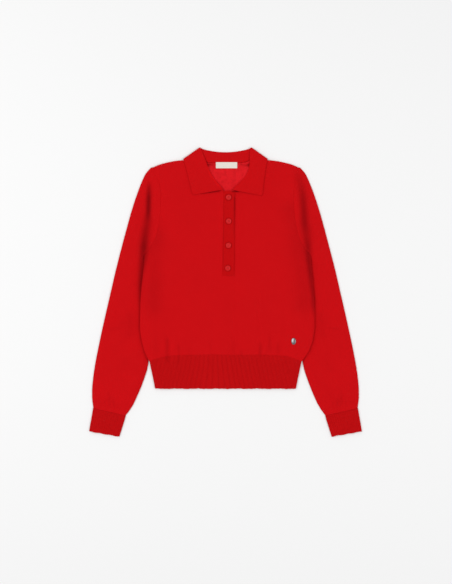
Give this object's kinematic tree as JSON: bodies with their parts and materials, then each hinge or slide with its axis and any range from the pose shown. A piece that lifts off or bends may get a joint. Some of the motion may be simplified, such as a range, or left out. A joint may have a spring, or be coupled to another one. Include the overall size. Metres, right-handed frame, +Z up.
{
  "type": "collared sweater",
  "caption": "Long-sleeved knit polo sweater lying flat: folded collar, buttoned placket, set-in sleeves with rib cuffs, rib waistband.",
  "frame": {"origin": "the middle of the sweater's outline, on the surface it lies on", "axes": "+Z up, out of the sweater's front; +Y toward the collar; +X to the right as seen from above"},
  "size_m": [0.6536, 0.694, 0.0096],
  "materials": {
    "knit": "fine plain knit, matt with a little nap",
    "rib": "rib knit, matt",
    "collar": "close plain knit, matt",
    "button": "satin red",
    "tape": "woven off-white tape, blank",
    "metal": "polished silver metal"
  },
  "bodies": {
    "root": {"front": "knit", "back": "knit", "sleeve_left": "knit", "sleeve_right": "knit", "cuff_left": "rib", "cuff_right": "rib", "waistband_front": "rib", "waistband_back": "rib", "collar": "collar", "placket_under": "collar", "placket_over": "collar", "button_1": "button", "button_2": "button", "button_3": "button", "button_4": "button", "neck_label": "tape", "metal_stud": "metal"}
  },
  "joints": []
}
